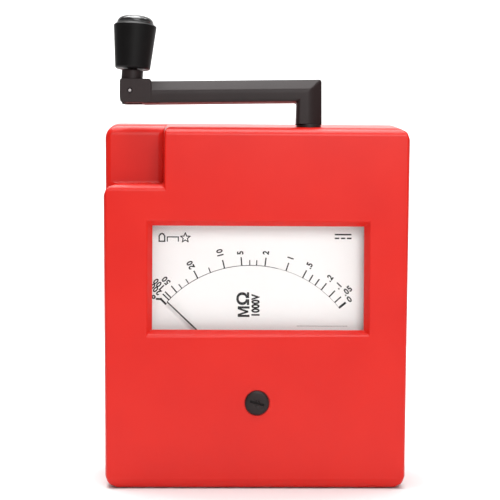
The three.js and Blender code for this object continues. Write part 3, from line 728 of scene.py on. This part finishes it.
# ---------- spindle and knob ----------
CAP_RADIUS = 9.25
CAP_STEPS = 20
RIVET = {"half": 5.95, "radius": 0.72}


def lean_matrix(offset=0.0):
    """From an upright piece over the fold pin to its leaning place."""
    lean = Matrix.Translation(PIN * SCALE) @ Matrix.Rotation(KNOB_LEAN, 4, "Y")
    return lean @ shift(offset, 0, 0)


def knob_spindle():
    """The folding spindle: a flat eye in the fork, a round collar under the grip, and a thin stem."""
    collar = [(0, 5.4), (5.1, 5.4), (5.4, 5.9), (5.4, 10.3), (5.1, 10.7)]
    rod = [(2.5, 10.7), (2.5, 31.9), (2.2, 32.1), (0, 32.1)]
    neck = lathe("knob_spindle_body", collar + rod, 64)
    place(neck, shift(KNOB["offset"], 0, 0))
    eye = cylinder("eye", (0, -2.5, 0), (0, 2.5, 0), 4.9, 64)
    stem = box("stem", (-4.85, -2.5, 0), (5.3, 2.5, 7))
    add(neck, eye)
    add(neck, stem)
    cut(neck, cylinder("hole", (0, -5, 0), (0, 5, 0), 0.92, 32))
    place(neck, lean_matrix())
    return smooth(neck)


def crank_knob():
    """The grip: a slim taper, a small chamfer below and a crisp rim with a sloping shoulder."""
    bottom, rim = KNOB["bottom"], KNOB["rim"]
    low, high = KNOB["bottom_radius"], KNOB["rim_radius"]
    profile = [(0, 32.4), (2.6, 32.4), (2.6, bottom + 0.5), (low - 2.2, bottom)]
    profile += arc((low - 1.1, bottom + 1.1), 1.1, -80, 0, 5)
    profile += [(high - 0.03, rim - 1.6), (high, rim - 1.2), (high - 0.12, rim - 1.05)]
    profile += [(9.35, rim), (5.0, rim), (5.0, rim - 0.9), (0, rim - 0.9)]
    body = lathe("crank_knob_grip", profile, 128)
    place(body, lean_matrix(KNOB["offset"]))
    return smooth(body, 24)


def knob_cap():
    """The glossy cap set into the grip: steep rounded sides and a nearly flat top."""
    rim, top = KNOB["rim"], KNOB["top"]
    profile = [(0, rim - 0.7), (4.8, rim - 0.7), (4.8, rim + 0.05), (8.9, rim + 0.05)]
    for i in range(CAP_STEPS):
        angle = math.radians(6 + 84 * i / CAP_STEPS)
        radius = CAP_RADIUS * math.cos(angle) ** 0.5
        profile.append((radius, rim + 0.1 + (top - rim - 0.1) * math.sin(angle)))
    profile.append((0, top))
    body = lathe("knob_cap_dome", profile, 128)
    place(body, lean_matrix(KNOB["offset"]))
    return smooth(body, 50)


def fold_pin():
    """The fold pin, whose ends stand nearly level with the fork inside its sunk rings."""
    start = (PIN.x, CRANK["y"] - RIVET["half"], PIN.z)
    end = (PIN.x, CRANK["y"] + RIVET["half"], PIN.z)
    return smooth(cylinder("fold_pin_rivet", start, end, RIVET["radius"], 32))


# ---------- zero adjuster ----------
SLOT_ANGLE = 15
FACET_ANGLES = (-118, -62, 55, 125)
FACET_LEAN = -24
PIN_THROW = 1.5


def zero_adjuster():
    """A domed screw head in a thin dark rim, with a tilted slot and four small facets around it."""
    profile = [(0, -3.4), (2.9, -3.4), (2.9, -0.75), (6.0, -0.75), (6.0, 0.2)]
    profile += [(5.95, 0.4), (5.75, 0.65), (5.3, 0.88), (4.6, 1.03), (3.4, 1.15), (1.8, 1.22), (0, 1.25)]
    head = lathe("zero_adjuster_head", profile, 96)
    cut(head, box("slot", (-3.7, -0.6, -0.2), (3.7, 0.6, 3)))
    for angle in FACET_ANGLES:
        facet = box("facet", (1.0, -0.5, -0.85), (2.9, 0.5, 1.2))
        lean = Matrix.Rotation(math.radians(FACET_LEAN), 4, "Y")
        spin = Matrix.Rotation(math.radians(angle), 4, "Z")
        place(facet, spin @ shift(0, 0, 1.25) @ lean)
        cut(head, facet)
    pin = cylinder("pin", (0, PIN_THROW, -3.0), (0, PIN_THROW, -5.0), 0.6, 24)
    tilt = Matrix.Rotation(math.radians(SLOT_ANGLE), 4, "Y")
    face = shift(ADJUST["x"], FRONT_Y, ADJUST["z"])
    turn = Matrix.Rotation(math.pi / 2, 4, "X")
    place(head, face @ tilt @ turn)
    place(pin, face @ turn)
    return smooth(join("zero_adjuster", [head, pin]))


# ---------- dial printing ----------
PRINT_Y = DIAL_Y - 0.03
PRINT_THICKNESS = 0.04
INK_WEIGHT = 0.17
CAPITAL_HEIGHT = 0.7  # of the font's own size
ARC_RADIUS = 57.65
ARC_START, ARC_END = -47.2, 51.0
ARC_STEPS = 60
ARC_THIN_FROM = 14
MAJOR = {"length": 4.35, "width": 0.68}
MEDIUM = {"length": 3.9, "width": 0.68}
MINOR = {"length": 2.7, "width": 0.55}
ZERO_MARK = {"length": 4.35, "width": 1.15}
MAJOR_ANGLES = (-46.1, -44.6, -40.65, -27.9, -13.5, -4.7, 7.0, 17.9, 27.0, 38.2, 43.5, 47.5)
MEDIUM_ANGLES = (30.7, 34.3)
MINOR_ANGLES = (-37.4, -33.2, -20.9, -0.66, 2.75)

# Each label of the scale: its words, its angle and its distance from the centre of the scale.
LABELS = [
    ("200", -46.7, 66.2), ("100", -44.2, 66.8), ("50", -40.8, 65.7), ("20", -27.85, 65.3),
    ("10", -13.8, 65.7), ("5", -4.8, 64.2), ("2", 6.8, 64.5), ("1", 18.2, 64.6), (".5", 27.2, 64.8),
    (".2", 38.0, 65.0), (".1", 43.2, 65.1), (".05", 47.5, 66.4), ("0", 51.0, 64.4),
]
LABEL_HEIGHT = 3.0
LABEL_STRETCH = 0.88


def ink_strip(name, start, end, width):
    """A printed line between two (x, z) points."""
    a, b = Vector(start), Vector(end)
    side = (b - a).normalized()
    side = Vector((-side.y, side.x)) * width / 2
    corners = [a - side, b - side, b + side, a + side]
    return ink_polygon(name, corners)


def ink_polygon(name, corners):
    """A thin printed shape with (x, z) corners."""
    points = [(p[0], PRINT_Y - PRINT_THICKNESS / 2, p[1]) for p in corners]
    points += [(p[0], PRINT_Y + PRINT_THICKNESS / 2, p[1]) for p in corners]
    n = len(corners)
    faces = [list(range(n)), list(range(2 * n - 1, n - 1, -1))]
    faces += [[i, n + i, n + (i + 1) % n, (i + 1) % n] for i in range(n)]
    return mesh_object(name, points, faces)


def ink_path(name, corners, width, closed=False):
    """Printed lines from corner to corner, with square ends that fill the joints."""
    following = corners[1:] + corners[:1] if closed else corners[1:]
    strips = []
    for a, b in zip(corners, following):
        along = (Vector(b) - Vector(a)).normalized() * width / 2
        strips.append(ink_strip(name, Vector(a) - along, Vector(b) + along, width))
    return strips


def polar(degrees, radius):
    """A point of the scale, by its angle clockwise from straight up and its distance."""
    angle = math.radians(degrees)
    reach = Vector((radius * math.sin(angle), radius * math.cos(angle)))
    return Vector((SCALE_CENTRE["x"], SCALE_CENTRE["z"])) + reach


def dial_text(words, centre, height, turn, stretch, weight=INK_WEIGHT, spacing=1.12):
    """Text whose baseline runs along the turn, in degrees anticlockwise from +X, as thin print."""
    curve = bpy.data.curves.new("text", "FONT")
    curve.body = words
    curve.size = height * SCALE / CAPITAL_HEIGHT
    curve.align_x = "CENTER"
    curve.align_y = "CENTER"
    curve.offset = weight * SCALE
    curve.space_character = spacing
    curve.extrude = PRINT_THICKNESS / 2 * SCALE
    curve.resolution_u = 4
    text = link(bpy.data.objects.new("text", curve))
    bpy.context.view_layer.update()
    mesh = bpy.data.meshes.new_from_object(text.evaluated_get(bpy.context.evaluated_depsgraph_get()))
    bpy.data.objects.remove(text)
    printed = link(bpy.data.objects.new("text", mesh))
    upright = Matrix.Rotation(math.pi / 2, 4, "X")
    spin = Matrix.Rotation(-math.radians(turn), 4, "Y")
    where = shift(centre[0], PRINT_Y, centre[1])
    squeeze = Matrix.Diagonal((stretch, 1, 1, 1))
    place(printed, where @ spin @ upright @ squeeze)
    return printed


def scale_arc():
    """The thin line that carries the ticks, paler towards the right end."""
    pieces = []
    span = (ARC_END - ARC_START) / ARC_STEPS
    for i in range(ARC_STEPS):
        a = ARC_START + span * i
        b = ARC_START + span * (i + 1)
        width = 0.32 if b < ARC_THIN_FROM else 0.16
        pieces.append(ink_strip("arc", polar(a, ARC_RADIUS), polar(b + 0.05, ARC_RADIUS), width))
    return pieces


def tick(angle, size):
    start, end = polar(angle, ARC_RADIUS - 0.1), polar(angle, ARC_RADIUS + size["length"])
    return ink_strip("tick", start, end, size["width"])


def scale_ticks():
    """The ticks, the bold zero mark, and the bent mark where the scale reaches infinity."""
    pieces = [tick(angle, MAJOR) for angle in MAJOR_ANGLES]
    pieces += [tick(angle, MINOR) for angle in MINOR_ANGLES]
    pieces += [tick(angle, MEDIUM) for angle in MEDIUM_ANGLES]
    pieces.append(tick(ARC_END, ZERO_MARK))
    pieces += ink_path("hook", [(-50.0, 93.9), (-48.0, 93.8), (-45.7, 91.5)], 1.05)
    return pieces


def scale_labels():
    """The numbers, each reading outwards from the centre, and the infinity sign drawn as an 8."""
    pieces = []
    for words, angle, radius in LABELS:
        pieces.append(dial_text(words, polar(angle, radius), LABEL_HEIGHT, 90 - angle, LABEL_STRETCH))
    pieces.append(dial_text("8", (-52.2, 94.9), 3.2, 90, 0.9))
    return pieces


# The capital M's outline in a unit square, drawn so that its strokes stay even when bold.
LETTER_M = [(0, 0), (0, 1), (0.27, 1), (0.5, 0.38), (0.73, 1), (1, 1), (1, 0), (0.79, 0), (0.79, 0.70),
            (0.58, 0.10), (0.42, 0.10), (0.21, 0.70), (0.21, 0)]


def unit_marks():
    """The unit and the test voltage, both reading upwards."""
    letter = [(-3.1 - 6.0 * up, 84.9 + 5.4 * across) for across, up in LETTER_M]
    return [
        ink_polygon("letter_m", letter[::-1]),
        dial_text("Ω", (-6.0, 94.2), 5.7, 90, 1.12, 0.26),
        dial_text("1000V", (0.15, 90.6), 3.7, 90, 0.80, 0.27, 1.04),
    ]


def star_outline(centre, radius):
    """A five-pointed star, from its top point clockwise."""
    corners = []
    for i in range(10):
        reach = radius if i % 2 == 0 else radius * 0.45
        angle = math.radians(36 * i)
        corners.append((centre[0] + reach * math.sin(angle), centre[1] + reach * math.cos(angle)))
    return corners


def meter_symbols():
    """Generic instrument symbols: a moving-coil magnet, a flat-use bracket and a test-voltage star."""
    arch = [(-49.0, 123.1), (-49.0, 125.6), (-48.4, 126.7), (-47.6, 127.0), (-46.8, 126.7),
            (-46.2, 125.6), (-46.2, 123.1)]
    pieces = ink_path("arch", arch, 0.7, True)
    pieces += ink_path("bracket", [(-44.9, 123.2), (-44.9, 125.3), (-39.3, 125.3), (-39.3, 123.2)], 0.56)
    pieces += ink_path("star", star_outline((-35.8, 124.9), 2.5), 0.52, True)
    return pieces


DOTS = {"left": 21.0, "z": 80.4, "pitch": 0.76, "count": 34}


def plain_marks():
    """A direct-current symbol at the top right, and an empty dotted line at the bottom right."""
    pieces = [ink_strip("line", (40.0, 126.9), (48.5, 126.9), 0.75)]
    for i in range(3):
        pieces.append(ink_strip("dash", (40.0 + 3.1 * i, 125.0), (42.3 + 3.1 * i, 125.0), 0.75))
    for i in range(DOTS["count"]):
        x = DOTS["left"] + i * DOTS["pitch"]
        pieces.append(ink_strip("dot", (x, DOTS["z"]), (x + DOTS["pitch"] / 2, DOTS["z"]), 0.3))
    return pieces


def dial_print():
    pieces = scale_arc() + scale_ticks() + scale_labels() + unit_marks() + meter_symbols() + plain_marks()
    return join("dial_print", pieces)


# ---------- pieces on their bodies ----------
def build_pieces():
    finish_piece(front_case(), "case", "case_red", ["front_case"])
    finish_piece(crank_collar(), "case", "black_plastic", (), "crank_black")
    finish_piece(rear_case(), "case", "case_red", ["rear_case"])
    for i, (x, z) in enumerate(SCREW_PLACES):
        finish_piece(screw(f"case_screw_head_{i + 1}", x, z), "case", "steel", [f"case_screw_{i + 1}"])
    for i, (x, z) in enumerate(FOOT_PLACES):
        finish_piece(foot(f"rubber_foot_{i + 1}", x, z), "case", "rubber", [f"foot_{i + 1}"])
    for word, z in SOCKETS:
        slot = "case_red" if word == "line" else "black_plastic"
        finish_piece(socket_ring(f"{word}_socket_ring", z), "case", slot, [f"{word}_socket"])
    finish_piece(dial_print(), "case", "gloss_black", (), "ink")
    finish_piece(zero_adjuster(), "adjuster", "black_plastic", ["zero_adjust_screw"], "crank_black")
    finish_piece(crank_arm(), "crank", "crank_black", ["crank_arm"])
    finish_piece(fold_pin(), "crank", "steel", ["fold_pin"], "dull_steel")
    finish_piece(knob_spindle(), "spindle", "crank_black", ["knob_spindle"])
    finish_piece(crank_knob(), "knob", "crank_black", ["crank_knob"], "knob_black")
    finish_piece(knob_cap(), "knob", "gloss_black", ["knob_cap"])


def paint_cad_nodes():
    """Gives each CAD node the procedural material of its slot, but the pointer is painted like ink."""
    slot_of = {entry["node"]: entry["material_slot"] for entry in frame["record"]["subparts"]}
    slot_of["pointer"] = "ink"
    for name, obj in frame["nodes"].items():
        material = MATERIALS[slot_of[name]]
        if not obj.material_slots:
            obj.data.materials.append(material)
        for material_slot in obj.material_slots:
            material_slot.material = material


# ---------- studio ----------
WORLD_STRENGTH = 0.18
KEY_POWER = 7.8
TOP_POWER = 28.0
BACK_POWER = 90.0
FLOOR_Z = -0.3
SWEEP = {"front": -2500, "bend": 1500, "radius": 900, "top": 4000, "half": 4000, "steps": 12}


def area_light(name, where, target, size, power):
    """A rectangular light at a place, turned towards its target."""
    data = bpy.data.lights.new(name, "AREA")
    data.shape = "RECTANGLE"
    data.size, data.size_y = size[0] * SCALE, size[1] * SCALE
    data.energy = power
    light = link(bpy.data.objects.new(name, data))
    aim = Vector(target) - Vector(where)
    light.matrix_world = shift(*where) @ aim.to_track_quat("-Z", "Y").to_matrix().to_4x4()


def sweep():
    """A pale paper floor that rises behind the tester in one wide curve."""
    bend, radius = SWEEP["bend"], SWEEP["radius"]
    rows = [(SWEEP["front"], FLOOR_Z), (bend, FLOOR_Z)]
    for i in range(1, SWEEP["steps"] + 1):
        angle = math.radians(90 * i / SWEEP["steps"])
        rows.append((bend + radius * math.sin(angle), FLOOR_Z + radius * (1 - math.cos(angle))))
    rows.append((bend + radius, SWEEP["top"]))
    points = [(x, y, z) for y, z in rows for x in (-SWEEP["half"], SWEEP["half"])]
    faces = [[2 * i, 2 * i + 1, 2 * i + 3, 2 * i + 2] for i in range(len(rows) - 1)]
    paper = mesh_object("studio_paper", points, faces)
    material, bsdf = shader("pale_paper", (0.76, 0.76, 0.76), 0.8)
    vary_roughness(material, bsdf, 0.75, 0.85, 3)
    paper.data.materials.append(material)
    for face in paper.data.polygons:
        face.use_smooth = True


def studio():
    """The paper floor, a faint white surround and three soft lights."""
    sweep()
    world = bpy.data.worlds.new("studio_world")
    world.use_nodes = True
    background = world.node_tree.nodes["Background"]
    background.inputs["Color"].default_value = (1, 1, 1, 1)
    background.inputs["Strength"].default_value = WORLD_STRENGTH
    bpy.context.scene.world = world
    area_light("key_softbox", (186, -1090, 655), (0, -40, 110), (600, 600), KEY_POWER)
    area_light("top_softbox", (-80, -60, 1500), (0, -20, 100), (1300, 900), TOP_POWER)
    area_light("back_softbox", (0, 500, 1900), (0, 2400, 700), (2600, 600), BACK_POWER)
    bpy.context.scene.view_settings.view_transform = "Standard"


CAMERA_PLACE = (-20.04, -720, 124.14)
CAMERA_TURN = (-0.0246, 0.0076, 0.005)
CAMERA_LENS = 98.4


def camera():
    """The viewpoint, turned by its yaw, pitch and roll in radians."""
    data = bpy.data.cameras.new("view")
    data.lens = CAMERA_LENS
    data.sensor_width = 36
    data.clip_start = 0.01
    obj = link(bpy.data.objects.new("view", data))
    yaw, pitch, roll = CAMERA_TURN
    forward = Vector((-math.sin(yaw), math.cos(yaw), 0))
    right = Vector((math.cos(yaw), math.sin(yaw), 0))
    up = Vector((0, 0, 1))
    aim = forward * math.cos(pitch) - up * math.sin(pitch)
    above = forward * math.sin(pitch) + up * math.cos(pitch)
    x_axis = right * math.cos(roll) + above * math.sin(roll)
    y_axis = above * math.cos(roll) - right * math.sin(roll)
    rotation = Matrix((x_axis, y_axis, -aim)).transposed().to_4x4()
    obj.matrix_world = shift(*CAMERA_PLACE) @ rotation
    bpy.context.scene.camera = obj


build_pieces()
paint_cad_nodes()
studio()
camera()
